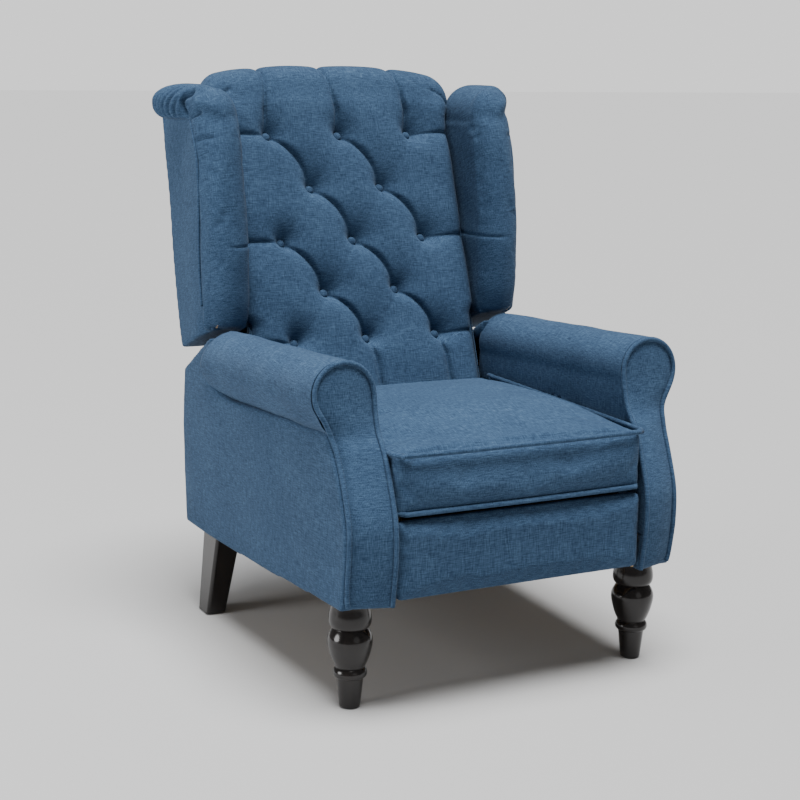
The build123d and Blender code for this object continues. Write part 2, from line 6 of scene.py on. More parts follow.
import bmesh
import bpy
import numpy as np
from mathutils import Matrix, Vector
from mathutils.bvhtree import BVHTree


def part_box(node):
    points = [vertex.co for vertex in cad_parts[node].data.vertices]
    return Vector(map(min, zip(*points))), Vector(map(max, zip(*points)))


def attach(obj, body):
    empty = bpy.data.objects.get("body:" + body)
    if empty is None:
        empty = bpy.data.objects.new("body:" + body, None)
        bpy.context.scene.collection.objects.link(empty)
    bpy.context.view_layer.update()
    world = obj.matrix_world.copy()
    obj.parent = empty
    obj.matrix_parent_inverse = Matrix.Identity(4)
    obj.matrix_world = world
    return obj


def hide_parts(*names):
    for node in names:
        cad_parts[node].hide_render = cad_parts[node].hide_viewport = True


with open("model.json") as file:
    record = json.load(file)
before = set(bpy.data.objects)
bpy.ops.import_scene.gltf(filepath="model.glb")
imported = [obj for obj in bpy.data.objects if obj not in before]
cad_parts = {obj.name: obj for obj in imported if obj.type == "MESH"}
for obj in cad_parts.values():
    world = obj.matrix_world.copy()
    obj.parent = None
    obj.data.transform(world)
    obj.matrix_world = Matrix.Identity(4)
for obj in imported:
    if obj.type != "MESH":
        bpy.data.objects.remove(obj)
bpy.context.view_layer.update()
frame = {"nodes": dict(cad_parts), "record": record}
NODES = frame["nodes"]

# ---------------------------------------------------------------- the chair's own measures
RAKE = radians(19.4)
PAD_FOOT = np.array((0.130, 0.440))      # (y, z) on the back pad's front face, just above the seat
BUTTON_ROWS = ((0.481, 3), (0.376, 2), (0.273, 3), (0.173, 2), (0.080, 3))
BUTTON_PITCH = 0.1495
BUTTON_DEEP = 0.0165                     # how far the buttons sit behind the face
PULL_DEEP, PULL_WIDE = 0.030, 0.0168     # the hollow that each button pulls in the fabric
PIPING_R = 0.0043
ARM_INNER = 0.236
ROLL_X = 0.289
ROLL_R = 0.055
ROLL_FRONT = (-0.340, 0.517)             # (y, z) of the roll's axis at its front
ROLL_REAR = (0.135, 0.493)
FACING_FRONT = ((0.178, -0.414), (0.22, -0.421), (0.268, -0.427), (0.32, -0.425), (0.374, -0.407),
                (0.425, -0.384), (0.456, -0.363), (0.50, -0.351), (0.545, -0.347), (0.58, -0.346))


def smooth(t):
    """A soft step from 0 to 1."""
    t = np.clip(t, 0.0, 1.0)
    return t * t * (3.0 - 2.0 * t)


def curve_through(points, count, closed=False):
    """Points evenly spaced along a smooth curve through a few given points, any dimension."""
    points = np.asarray(points, float)
    if closed:
        ring = np.vstack((points[-2:], points, points[:3]))
    else:
        ring = np.vstack((2 * points[0] - points[1], points, 2 * points[-1] - points[-2]))
    dense = []
    first, last = (1, len(points) + 2) if closed else (1, len(points))
    steps = np.linspace(0, 1, 24, endpoint=False)[:, None]
    for k in range(first, last):
        a, b, c, d = ring[k - 1], ring[k], ring[k + 1], ring[k + 2]
        dense.append(0.5 * (2 * b + (c - a) * steps + (2 * a - 5 * b + 4 * c - d) * steps ** 2
                            + (3 * b - a - 3 * c + d) * steps ** 3))
    dense.append(ring[last][None])
    dense = np.vstack(dense)
    run = np.concatenate(((0,), np.cumsum(np.linalg.norm(np.diff(dense, axis=0), axis=1))))
    where = np.linspace(0, run[-1], count, endpoint=not closed)
    return np.stack([np.interp(where, run, dense[:, k]) for k in range(dense.shape[1])], axis=1)


def at_height(table, z):
    """The smooth curve through a table of (height, value) rows, read at a height."""
    line = curve_through(table, 60)
    return np.interp(z, line[:, 0], line[:, 1])


def facing_y(z):
    """How far forward the arm's front face stands at each height."""
    line = curve_through(FACING_FRONT, 80)
    return np.interp(z, line[:, 0], line[:, 1])


def noise(points, size, seed=0):
    """Gentle seeded waves over points, about -1 to 1, with bumps of roughly that size."""
    rng = np.random.default_rng(seed)
    total = np.zeros(points.shape[:-1])
    for _ in range(7):
        direction = rng.normal(size=points.shape[-1])
        direction /= np.linalg.norm(direction)
        length = size * rng.uniform(0.7, 1.6)
        total += np.sin(points @ direction * 2 * pi / length + rng.uniform(0, 2 * pi))
    return total / 3.5


# ---------------------------------------------------------------- mesh helpers
def new_mesh(name, verts, faces, soften=True):
    """A new object from points and faces, welded and with its normals outward."""
    mesh = bpy.data.meshes.new(name)
    mesh.from_pydata([tuple(v) for v in verts], [], [tuple(f) for f in faces])
    mesh.validate()
    build = bmesh.new()
    build.from_mesh(mesh)
    bmesh.ops.remove_doubles(build, verts=build.verts, dist=1e-6)
    bmesh.ops.recalc_face_normals(build, faces=build.faces)
    build.to_mesh(mesh)
    build.free()
    piece = bpy.data.objects.new(name, mesh)
    bpy.context.scene.collection.objects.link(piece)
    if soften:
        mesh.polygons.foreach_set("use_smooth", [True] * len(mesh.polygons))
    return piece


def grid_faces(rows, columns, wrap_rows=False, wrap_columns=False, start=0):
    """Quads over a grid of points, row by row."""
    faces = []
    for r in range(rows if wrap_rows else rows - 1):
        for c in range(columns if wrap_columns else columns - 1):
            r2, c2 = (r + 1) % rows, (c + 1) % columns
            faces.append((start + r * columns + c, start + r * columns + c2,
                          start + r2 * columns + c2, start + r2 * columns + c))
    return faces


def lofted(name, rings):
    """A closed body from rings of points: each ring is a closed loop, and the ends are filled."""
    rings = np.asarray(rings, float)
    count, around = rings.shape[:2]
    faces = grid_faces(count, around, wrap_columns=True)
    verts = list(rings.reshape(-1, 3))
    for ring, flip in ((0, True), (count - 1, False)):
        middle = len(verts)
        verts.append(rings[ring].mean(axis=0))
        for k in range(around):
            a, b = ring * around + k, ring * around + (k + 1) % around
            faces.append((b, a, middle) if flip else (a, b, middle))
    return new_mesh(name, verts, faces)


def tube(name, path, radius, closed=False, around=10):
    """Round piping along a path of points."""
    path = np.asarray(path, float)
    ahead = np.roll(path, -1, axis=0) - np.roll(path, 1, axis=0)
    if not closed:
        ahead[0], ahead[-1] = path[1] - path[0], path[-1] - path[-2]
    ahead /= np.linalg.norm(ahead, axis=1)[:, None]
    side = np.cross(ahead[0], (0.3, 0.2, 0.9))
    rings = []
    for point, direction in zip(path, ahead):
        side = side - direction * (side @ direction)
        side /= np.linalg.norm(side)
        other = np.cross(direction, side)
        turn = np.linspace(0, 2 * pi, around, endpoint=False)[:, None]
        rings.append(point + radius * (np.cos(turn) * side + np.sin(turn) * other))
    if not closed:
        return lofted(name, rings)
    rings = np.array(rings)
    return new_mesh(name, rings.reshape(-1, 3), grid_faces(len(rings), around, True, True))


def mirrored(piece, name):
    """The same piece on the chair's other side."""
    other = piece.copy()
    other.data = piece.data.copy()
    other.name = name
    bpy.context.scene.collection.objects.link(other)
    other.data.transform(Matrix.Scale(-1, 4, (1, 0, 0)))
    other.data.flip_normals()
    return other


def joined(name, pieces):
    """One object from several."""
    build = bmesh.new()
    for piece in pieces:
        build.from_mesh(piece.data)
        bpy.data.objects.remove(piece)
    mesh = bpy.data.meshes.new(name)
    build.to_mesh(mesh)
    build.free()
    mesh.polygons.foreach_set("use_smooth", [True] * len(mesh.polygons))
    piece = bpy.data.objects.new(name, mesh)
    bpy.context.scene.collection.objects.link(piece)
    return piece


def apply_modifiers(piece):
    """Bake the modifiers into the mesh."""
    view = bpy.context.evaluated_depsgraph_get()
    mesh = bpy.data.meshes.new_from_object(piece.evaluated_get(view))
    piece.modifiers.clear()
    piece.data = mesh
    mesh.polygons.foreach_set("use_smooth", [True] * len(mesh.polygons))
    return piece


def remeshed(piece, voxel, relax=4):
    """Blend overlapping shells into one skin."""
    skin = piece.modifiers.new("skin", "REMESH")
    skin.mode = "VOXEL"
    skin.voxel_size = voxel
    if relax:
        ease = piece.modifiers.new("ease", "SMOOTH")
        ease.factor = 0.5
        ease.iterations = relax
    return apply_modifiers(piece)


def vertices(piece):
    co = np.empty(len(piece.data.vertices) * 3)
    piece.data.vertices.foreach_get("co", co)
    return co.reshape(-1, 3)


def set_vertices(piece, co):
    piece.data.vertices.foreach_set("co", np.ascontiguousarray(co, float).ravel())
    piece.data.update()


def normals(piece):
    out = np.empty(len(piece.data.vertices) * 3)
    piece.data.vertices.foreach_get("normal", out)
    return out.reshape(-1, 3)


def inflate(piece, pressure=4.0, cap=0.02, pinned=None, spare=0.0, frames=20):
    """Fill a closed fabric shell by cloth simulation, with no gravity, then apply the result."""
    before = vertices(piece)
    cloth = piece.modifiers.new("cloth", "CLOTH")
    settings = cloth.settings
    settings.use_pressure = True
    settings.uniform_pressure_force = pressure
    settings.effector_weights.gravity = 0.0
    settings.quality = 6
    settings.mass = 0.25
    settings.tension_stiffness = 25
    settings.compression_stiffness = 25
    settings.bending_stiffness = 0.6
    settings.shrink_min = -spare
    cloth.collision_settings.use_collision = False
    if pinned is not None:
        group = piece.vertex_groups.new(name="seams")
        group.add([int(k) for k in np.nonzero(pinned)[0]], 1.0, "REPLACE")
        settings.vertex_group_mass = "seams"
        settings.pin_stiffness = 1.0
    scene = bpy.context.scene
    scene.frame_end = frames
    for step in range(1, frames + 1):
        scene.frame_set(step)
    shaped = piece.evaluated_get(bpy.context.evaluated_depsgraph_get()).to_mesh()
    after = np.empty(len(shaped.vertices) * 3)
    shaped.vertices.foreach_get("co", after)
    after = after.reshape(-1, 3)
    piece.evaluated_get(bpy.context.evaluated_depsgraph_get()).to_mesh_clear()
    piece.modifiers.clear()
    piece.vertex_groups.clear()
    scene.frame_set(1)
    move = after - before
    far = np.linalg.norm(move, axis=1)
    move *= np.where(far > cap, cap / np.maximum(far, 1e-9), 1.0)[:, None]
    set_vertices(piece, before + move)
    return piece


def subdivided(piece, levels=1):
    soft = piece.modifiers.new("soft", "SUBSURF")
    soft.levels = levels
    soft.render_levels = levels
    return apply_modifiers(piece)


def shell_from_outline(name, outline, low, high, axis=0):
    """A slab: a flat outline, given in the two other axes, pushed along one axis from low to high."""
    rest = [k for k in range(3) if k != axis]
    layers = []
    for level in (low, high):
        layer = np.zeros((len(outline), 3))
        layer[:, rest] = outline
        layer[:, axis] = level
        layers.append(layer)
    count = len(outline)
    faces = [tuple(range(count))[::-1], tuple(range(count, 2 * count))]
    faces += [(k, (k + 1) % count, count + (k + 1) % count, count + k) for k in range(count)]
    return new_mesh(name, np.vstack(layers), faces, soften=False)


def block(name, low, high, bevel=0.012, voxel=0.005, relax=3):
    """A soft-edged block in an even mesh."""
    low, high = np.array(low), np.array(high)
    corners = [(x, y, z) for x in (0, 1) for y in (0, 1) for z in (0, 1)]
    verts = [low + (high - low) * np.array(corner) for corner in corners]
    faces = [(0, 1, 3, 2), (4, 6, 7, 5), (0, 4, 5, 1), (2, 3, 7, 6), (0, 2, 6, 4), (1, 5, 7, 3)]
    piece = new_mesh(name, verts, faces, soften=False)
    edge = piece.modifiers.new("edge", "BEVEL")
    edge.width = bevel
    edge.segments = 4
    apply_modifiers(piece)
    return remeshed(piece, voxel, relax)


def nearest_on(path, co):
    """Distance from each point to a path, and how far along the path (0 to 1) its nearest place is."""
    path = np.asarray(path, float)
    best = np.full(len(co), 1e9)
    along = np.zeros(len(co))
    for k in range(len(path) - 1):
        a, b = path[k], path[k + 1]
        run = b - a
        t = np.clip(((co - a) @ run) / max(run @ run, 1e-12), 0, 1)
        far = np.linalg.norm(co - (a + t[:, None] * run), axis=1)
        closer = far < best
        best[closer] = far[closer]
        along[closer] = (k + t[closer]) / (len(path) - 1)
    return best, along


def groove(piece, path, depth, width, fade=False):
    """Press a seam or crease into a skin along a path."""
    co = vertices(piece)
    far, along = nearest_on(path, co)
    push = depth * np.exp(-((far / width) ** 1.4))
    if fade:
        push *= smooth(np.minimum(along, 1 - along) * 5)
    set_vertices(piece, co - normals(piece) * push[:, None])
    return piece


def on_skin(piece, path):
    """A path's points moved onto the nearest places of a skin."""
    tree = BVHTree.FromPolygons([Vector(place) for place in vertices(piece)],
                                [list(face.vertices) for face in piece.data.polygons])
    return np.array([tree.find_nearest(Vector(place))[0] for place in path])


def rumpled(piece, height, size, seed):
    """Slight unevenness of filling under the fabric."""
    co = vertices(piece)
    set_vertices(piece, co + normals(piece) * (height * noise(co, size, seed))[:, None])
    return piece


# ---------------------------------------------------------------- materials
def socket_value(shader, **values):
    """Set sockets by name, with underscores for spaces."""
    for name, value in values.items():
        shader.inputs[name.replace("_", " ")].default_value = value


class Material:
    """A node material with short helpers."""

    def __init__(self, name):
        self.material = bpy.data.materials.new(name)
        self.material.use_nodes = True
        self.nodes = self.material.node_tree.nodes
        self.links = self.material.node_tree.links
        self.shader = self.nodes["Principled BSDF"]

    def node(self, kind, **values):
        node = self.nodes.new(kind)
        for name, value in values.items():
            setattr(node, name, value)
        return node

    def link(self, source, target):
        self.links.new(source, target)

    def coordinates(self, scale, lean=0.0):
        """Object coordinates, leaned about X and then scaled."""
        level = self.node("ShaderNodeMapping")
        level.inputs["Rotation"].default_value = (lean, 0, 0)
        self.link(self.node("ShaderNodeTexCoord").outputs["Object"], level.inputs["Vector"])
        place = self.node("ShaderNodeMapping")
        place.inputs["Scale"].default_value = scale
        self.link(level.outputs["Vector"], place.inputs["Vector"])
        return place.outputs["Vector"]

    def noise(self, scale, detail=2.0, vector=(1, 1, 1), roughness=0.5, lean=0.0):
        wave = self.node("ShaderNodeTexNoise")
        wave.inputs["Scale"].default_value = scale
        wave.inputs["Detail"].default_value = detail
        wave.inputs["Roughness"].default_value = roughness
        self.link(self.coordinates(vector, lean), wave.inputs["Vector"])
        return wave.outputs["Fac"]

    def mix(self, low, high, factor):
        blend = self.node("ShaderNodeMix", data_type="FLOAT")
        for value, target in ((factor, 0), (low, 2), (high, 3)):
            if isinstance(value, (int, float)):
                blend.inputs[target].default_value = value
            else:
                self.link(value, blend.inputs[target])
        return blend.outputs[0]

    def maths(self, operation, a, b=0.0):
        node = self.node("ShaderNodeMath", operation=operation)
        for value, target in ((a, 0), (b, 1)):
            if isinstance(value, (int, float)):
                node.inputs[target].default_value = value
            else:
                self.link(value, node.inputs[target])
        return node.outputs[0]

    def ramp(self, factor, *stops):
        ramp = self.node("ShaderNodeValToRGB")
        band = ramp.color_ramp
        while len(band.elements) < len(stops):
            band.elements.new(0.5)
        for element, (place, colour) in zip(band.elements, stops):
            element.position = place
            element.color = (*colour, 1.0)
        self.link(factor, ramp.inputs["Fac"])
        return ramp.outputs["Color"]

    def bump(self, height, strength, distance):
        bump = self.node("ShaderNodeBump")
        bump.inputs["Strength"].default_value = strength
        bump.inputs["Distance"].default_value = distance
        self.link(height, bump.inputs["Height"])
        self.link(bump.outputs["Normal"], self.shader.inputs["Normal"])


def linen(name, dark, middle, light, lean=0.0):
    """A linen-look weave: fine threads both ways with uneven, slubby yarn."""
    m = Material(name)
    fine, long = 1150, 80                # waves per metre across a thread and along it
    upright = m.noise(1, 3, (fine, fine, long), lean=lean)
    level = m.noise(1, 3, (long, long, fine), lean=lean)
    across = m.noise(1, 3, (long, fine, long), lean=lean)
    lengthways = m.noise(1, 3, (fine, long, long), lean=lean)
    facing = m.node("ShaderNodeSeparateXYZ")
    m.link(m.node("ShaderNodeTexCoord").outputs["Normal"], facing.inputs[0])
    flat = m.maths("GREATER_THAN", m.maths("ABSOLUTE", facing.outputs["Z"]), 0.62)
    one = m.mix(upright, lengthways, flat)
    two = m.mix(level, across, flat)
    threads = m.maths("ADD", m.maths("MULTIPLY", one, 0.5), m.maths("MULTIPLY", two, 0.5))
    cloud = m.noise(9, 3)
    tone = m.maths("ADD", threads, m.maths("MULTIPLY", m.maths("SUBTRACT", cloud, 0.5), 0.10))
    m.link(m.ramp(tone, (0.34, dark), (0.5, middle), (0.66, light)), m.shader.inputs["Base Color"])
    socket_value(m.shader, Roughness=0.88, Sheen_Weight=0.03, Sheen_Roughness=0.5,
                 Specular_IOR_Level=0.12)
    m.bump(threads, 0.22, 0.0006)
    return m.material


def lacquer():
    """Black lacquer over wood, with a faint grain."""
    m = Material("black_lacquer")
    grain = m.noise(1, 4, (160, 160, 12))
    black = m.ramp(grain, (0.3, (0.006, 0.005, 0.005)), (0.7, (0.014, 0.011, 0.010)))
    m.link(black, m.shader.inputs["Base Color"])
    m.link(m.mix(0.14, 0.24, m.noise(30, 3)), m.shader.inputs["Roughness"])
    socket_value(m.shader, Specular_IOR_Level=0.35, Coat_Weight=0.25, Coat_Roughness=0.06)
    m.bump(grain, 0.08, 0.0005)
    return m.material


def pine():
    """Bare frame timber."""
    m = Material("frame_wood")
    rings = m.noise(1, 5, (14, 3, 60), 0.6)
    tan = m.ramp(rings, (0.3, (0.42, 0.27, 0.13)), (0.55, (0.60, 0.42, 0.23)), (0.75, (0.68, 0.51, 0.31)))
    m.link(tan, m.shader.inputs["Base Color"])
    socket_value(m.shader, Roughness=0.7)
    m.bump(rings, 0.2, 0.0006)
    return m.material


def steel(name, dark, light, metallic, low, high):
    """Plated or painted steel, its roughness uneven between low and high."""
    m = Material(name)
    wear = m.noise(60, 5)
    m.link(m.ramp(wear, (0.35, dark), (0.7, light)), m.shader.inputs["Base Color"])
    m.link(m.mix(low, high, m.noise(220, 3)), m.shader.inputs["Roughness"])
    socket_value(m.shader, Metallic=metallic)
    m.bump(m.noise(900, 2), 0.08, 0.0002)
    return m.material


def nylon():
    """The black plastic of the glides."""
    m = Material("glide_plastic")
    black = m.ramp(m.noise(300, 3), (0.3, (0.02, 0.02, 0.02)), (0.7, (0.04, 0.04, 0.04)))
    m.link(black, m.shader.inputs["Base Color"])
    socket_value(m.shader, Roughness=0.6)
    m.bump(m.noise(900, 2), 0.1, 0.0002)
    return m.material


NAVY = ((0.013, 0.030, 0.062), (0.032, 0.066, 0.124), (0.068, 0.125, 0.208))
FABRIC = linen("navy_linen", *NAVY)
RAKED_FABRIC = linen("navy_linen_raked", *NAVY, lean=RAKE)
SLOTS = {
    "black_lacquer": lacquer(),
    "frame_wood": pine(),
    "zinc_steel": steel("zinc_steel", (0.50, 0.50, 0.48), (0.72, 0.72, 0.70), 1.0, 0.28, 0.42),
    "black_steel": steel("black_steel", (0.018, 0.018, 0.019), (0.035, 0.035, 0.037), 0.0, 0.35, 0.5),
    "glide_plastic": nylon(),
    "webbing": linen("black_webbing", (0.010, 0.010, 0.011), (0.025, 0.025, 0.027), (0.06, 0.06, 0.062)),
    "navy_fabric": FABRIC,
}
for entry in frame["record"]["subparts"]:
    NODES[entry["node"]].data.materials.clear()
    NODES[entry["node"]].data.materials.append(SLOTS[entry["material_slot"]])


def dress(piece, body, *nodes, fill=None):
    """Cover a piece in the chair's fabric and let it move with its body, in place of CAD nodes."""
    piece.data.materials.clear()
    piece.data.materials.append(RAKED_FABRIC if body == "back" else FABRIC)
    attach(piece, body)
    if nodes:
        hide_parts(*nodes)
    return piece


# ---------------------------------------------------------------- the tufted back
def on_back(x, up, deep):
    """World points from places on the raked back: up along it, and deep behind the pad's front face."""
    y = PAD_FOOT[0] + up * sin(RAKE) + deep * cos(RAKE)
    z = PAD_FOOT[1] + up * cos(RAKE) - deep * sin(RAKE)
    return np.stack(np.broadcast_arrays(x, y, z), axis=-1)


BUTTONS = [[(BUTTON_PITCH * (k - (count - 1) / 2), up) for k in range(count)]
           for up, count in BUTTON_ROWS]


def bowed(a, b, bow):
    """A line from a to b that bows to one side."""
    a, b = np.array(a), np.array(b)
    out = np.array((-(b - a)[1], (b - a)[0]))
    t = np.linspace(0, 1, 13)[:, None]
    return a + (b - a) * t + out * bow * (4 * t * (1 - t))


def tufting_lines():
    """Each fold: its path, depth, width on its upper right and lower left, and share left midway."""
    lines = []
    for row, below in zip(BUTTONS, BUTTONS[1:]):
        for x, up in row:
            for x2, up2 in below:
                if 0 < x2 - x < BUTTON_PITCH:
                    lines.append((bowed((x, up), (x2, up2), 0.125), 0.0105, 0.0036, 0.0100, 0.95))
                elif 0 < x - x2 < BUTTON_PITCH:
                    lines.append((bowed((x, up), (x2, up2), 0.05), 0.0045, 0.012, 0.010, 0.02))
    for x, up in BUTTONS[0]:
        lean = -0.010 * np.sign(x + 0.02)
        rise = np.array(((x, up), (x + 0.002, up + 0.05), (x + lean, up + 0.12), (x + lean, up + 0.32)))
        lines.append((rise, 0.0165, 0.0030, 0.0070, 1.0))
    for row in BUTTONS[::2]:
        for x, up in (row[0], row[-1]):
            level = np.array(((x, up), (x + 0.12 * np.sign(x), up + 0.004)))
            lines.append((level, 0.0065, 0.0036, 0.008, 0.85))
    for side in (-1, 1):
        corner = np.array(((side * 0.250, 0.560), (side * 0.236, 0.578), (side * 0.216, 0.585)))
        lines.append((corner, 0.0110, 0.005, 0.005, 1.0))
    for x, up in BUTTONS[-1]:
        down = np.array(((x, up), (x + 0.012, up - 0.04), (x + 0.018, up - 0.20)))
        lines.append((down, 0.0100, 0.0042, 0.0100, 0.85))
    return lines


def tuft_depth(x, up):
    """How far the fabric is drawn in at each place on the back."""
    flat = np.stack((x.ravel(), up.ravel()), axis=1)
    crease = np.zeros(len(flat))
    nearest = np.full(len(flat), 1.0)
    up_right = np.array((0.75, 0.66))
    for path, depth, width_above, width_below, middle in tufting_lines():
        far, along = nearest_on(path, flat)
        marks = np.linspace(0, 1, len(path))
        here = np.stack([np.interp(along, marks, path[:, k]) for k in (0, 1)], axis=1)
        width = np.where((flat - here) @ up_right > 0, width_above, width_below)
        strength = depth * (middle + (1 - middle) * np.abs(2 * along - 1) ** 1.5)
        crease = np.maximum(crease, strength * np.exp(-far / width))
        nearest = np.minimum(nearest, far + (1 - middle) * 0.045)
    pull = np.zeros(len(flat))
    for row in BUTTONS:
        for bx, bup in row:
            dx, dup = flat[:, 0] - bx, flat[:, 1] - bup
            lean = np.clip(1 + 0.75 * (dx * 0.6 + dup * 0.8) / (np.hypot(dx, dup) + 0.004), 0.5, 1.8)
            far = np.hypot(dx, dup) / lean
            pull = np.maximum(pull, PULL_DEEP * np.exp(-((far / PULL_WIDE) ** 1.2)))
    puff = 0.0085 * (1 - np.exp(-nearest / 0.030))
    total = np.sqrt(crease ** 2 + pull ** 2 + 0.5 * crease * pull) - puff
    return total.reshape(x.shape)


def tufted_back():
    """The back pad with its diamond tufting, rolled over the top, from (up, deep) points round it."""
    foot = -0.072
    front = np.stack((np.linspace(foot, 0.545, 300), np.full(300, 0.0)), axis=1)
    over = curve_through(((0.546, 0.0), (0.597, 0.008), (0.624, 0.032), (0.631, 0.060), (0.611, 0.098),
                          (0.552, 0.083)), 84)[1:]
    behind = curve_through(((0.552, 0.083), (0.50, 0.070), (0.44, 0.044), (foot, 0.042)), 40)[1:]
    under = curve_through(((foot, 0.042), (-0.076, 0.022), (foot, 0.0)), 8)[1:-1]
    loop = np.vstack((front, over, behind, under))
    shift = np.roll(loop, -1, axis=0) - np.roll(loop, 1, axis=0)
    shift /= np.linalg.norm(shift, axis=1)[:, None]
    inward = np.stack((-shift[:, 1], shift[:, 0]), axis=1)
    run = np.concatenate(((0,), np.cumsum(np.linalg.norm(np.diff(loop, axis=0), axis=1)))) + foot
    shown = smooth((0.74 - run) / 0.07)
    shown *= 1 - 0.62 * smooth((run - 0.52) / 0.06)
    across = np.linspace(-1, 1, 237)
    across = 0.35 * np.sin(across * pi / 2 * 0.94) / sin(pi / 2 * 0.94) + 0.65 * across
    half = 0.2305 + 0.0105 * smooth((loop[:, 0] - 0.112) / 0.03)
    half = half + 0.016 * smooth((loop[:, 0] - 0.51) / 0.06)
    x = across[:, None] * half[None, :]
    edge = np.clip((np.abs(x) - (half - 0.032)) / 0.032, 0, 1)
    rounding = 0.026 * (1 - np.sqrt(1 - np.minimum(edge, 0.999) ** 2))
    sag = 0.026 * np.abs(x / 0.257) ** 3.2 * smooth((loop[:, 0] - 0.50) / 0.10)
    deep_in = np.where(run < 0.76, tuft_depth(x, np.broadcast_to(run, x.shape)) * shown, 0) + rounding
    deep_in += 0.0012 * noise(np.stack((x, np.broadcast_to(run, x.shape)), axis=-1), 0.11, 5) * shown
    up = loop[:, 0] + inward[:, 0] * deep_in - sag
    deep = loop[:, 1] + inward[:, 1] * deep_in
    return lofted("tufted_back", on_back(x, up, deep))


back_pad = tufted_back()
dress(back_pad, "back", "back_pad", "back_top_pad", fill=0.75)


def button_dome(x, up):
    """A small fabric-covered button with a rounded rim, from (radius, depth) points."""
    outline = ((1e-5, 0.008), (0.0078, 0.0078), (0.0090, 0.0045), (0.0084, 0.0016), (0.0062, -0.0006),
               (0.0032, -0.0016), (1e-5, -0.0018))
    turn = np.linspace(0, 2 * pi, 28, endpoint=False)
    rings = [on_back(x + r * np.cos(turn), up + r * np.sin(turn), BUTTON_DEEP + d) for r, d in outline]
    return lofted("button", rings)


buttons = joined("cover_buttons", [button_dome(x, up) for row in BUTTONS for x, up in row])
dress(subdivided(buttons), "back", "back_buttons")

# ---------------------------------------------------------------- seat cushion
CUSHION_HALF = 0.230
CUSHION_LOW = 0.3285
CUSHION_EDGE = 0.428                     # height of the top seam at the front
CUSHION_FRONT = -0.421
CUSHION_SWELL = 0.0015                   # how far its sides may swell towards the arms


def seam_loop(z_front, z_rear, half, y_front, y_rear, corner, count=140):
    """A seam round the cushion: straight sides with round front corners, open at the rear."""
    path = [(half, y_rear, z_rear), (half, y_front + corner + 0.1, z_front + 0.3 * (z_rear - z_front))]
    path += [(half - corner + corner * cos(a), y_front + corner - corner * sin(a), z_front)
             for a in np.linspace(0, pi / 2, 6)]
    path += [(0.0, y_front - 0.003, z_front)]
    path += [(-x, y, z) for x, y, z in path[-2::-1]]
    return curve_through(path, count)


def seat_cushion():
    """The boxed seat cushion: crowned top, upright boxing, and a rear face that leans with the back."""
    piece = block("seat_cushion_cover", (-CUSHION_HALF, CUSHION_FRONT, CUSHION_LOW),
                  (CUSHION_HALF, 0.10, CUSHION_EDGE), 0.012)
    co = vertices(piece)
    height = (co[:, 2] - CUSHION_LOW) / (CUSHION_EDGE - CUSHION_LOW)
    rearward = smooth((co[:, 1] + 0.415) / 0.20) * (1 - 0.85 * smooth((co[:, 1] + 0.12) / 0.22))
    crown = rearward * (0.010 + 0.018 * (1 - np.abs(co[:, 0] / CUSHION_HALF) ** 2.6))
    co[:, 2] += crown * np.clip(height, 0, 1)
    share = smooth((co[:, 1] - CUSHION_FRONT) / 0.52)
    co[:, 1] += share * (-0.018 + 0.036 * height)
    bulge = (1 - np.abs(co[:, 0] / CUSHION_HALF) ** 2) * (0.4 + 0.6 * np.sin(pi * np.clip(height, 0, 1)))
    co[:, 1] -= 0.007 * (1 - smooth((co[:, 1] - CUSHION_FRONT) / 0.10)) * bulge
    set_vertices(piece, co)
    return piece


cushion = seat_cushion()
top_seam = seam_loop(CUSHION_EDGE + 0.001, CUSHION_EDGE + 0.007, CUSHION_HALF + 0.001,
                     -0.4265, 0.100, 0.022)
low_seam = seam_loop(CUSHION_LOW + 0.006, CUSHION_LOW + 0.006, CUSHION_HALF - 0.003,
                     -0.4245, 0.070, 0.022)
plain = vertices(cushion)
held = np.minimum(nearest_on(top_seam, plain)[0], nearest_on(low_seam, plain)[0]) < 0.0065
held |= (plain[:, 1] > 0.07) | (plain[:, 2] < CUSHION_LOW + 0.002)
inflate(cushion, pressure=3.0, cap=0.0065, pinned=held, spare=0.008)
filled = vertices(cushion)
filled[:, 0] = np.clip(filled[:, 0], -CUSHION_HALF - CUSHION_SWELL, CUSHION_HALF + CUSHION_SWELL)
set_vertices(cushion, filled)
subdivided(cushion)
groove(cushion, top_seam, 0.002, 0.004)
dress(cushion, "seat", "seat_cushion", fill=0.8)
for name, seam in (("cushion_top_piping", top_seam), ("cushion_low_piping", low_seam)):
    dress(tube(name, seam, PIPING_R), "seat")

# ---------------------------------------------------------------- footrest, the front panel at rest
low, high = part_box("footrest_pad")
panel = block("footrest_cover", (low.x, low.y + 0.005, low.z), (high.x, high.y, high.z + 0.001),
              0.010, 0.005)
face = vertices(panel)
inflate(panel, pressure=2.0, cap=0.0045, pinned=(face[:, 1] > low.y + 0.010), spare=0.01)
subdivided(panel)
dress(panel, "footrest", "footrest_pad", fill=0.5)

# ---------------------------------------------------------------- deck cloth over the seat frame's front
low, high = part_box("seat_frame_rails")
deck_cloth = block("deck_cloth", (low.x - 0.010, low.y - 0.0035, low.z + 0.006),
                   (high.x + 0.010, low.y - 0.0005, CUSHION_LOW - 0.001), 0.001, 0.003, 1)
deck_cloth.data.materials.clear()
deck_cloth.data.materials.append(SLOTS["webbing"])
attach(deck_cloth, "seat")


# ---------------------------------------------------------------- arms, made on the right and mirrored
ROLL_FOOT = 0.436                        # the roll slopes down to the rear only above this height
PANEL_BACK = 0.2455                      # X of the inner face's hidden side
ROLL_TAIL = np.array(((0.438, 0.090), (0.451, 0.104), (0.459, 0.126), (0.484, 0.149), (0.513, 0.152),
                      (0.546, 0.138), (0.56, 0.134)))    # (z, y) of the roll's rear end, outer side
ROLL_TAIL_INNER, PANEL_REAR = 0.146, 0.262


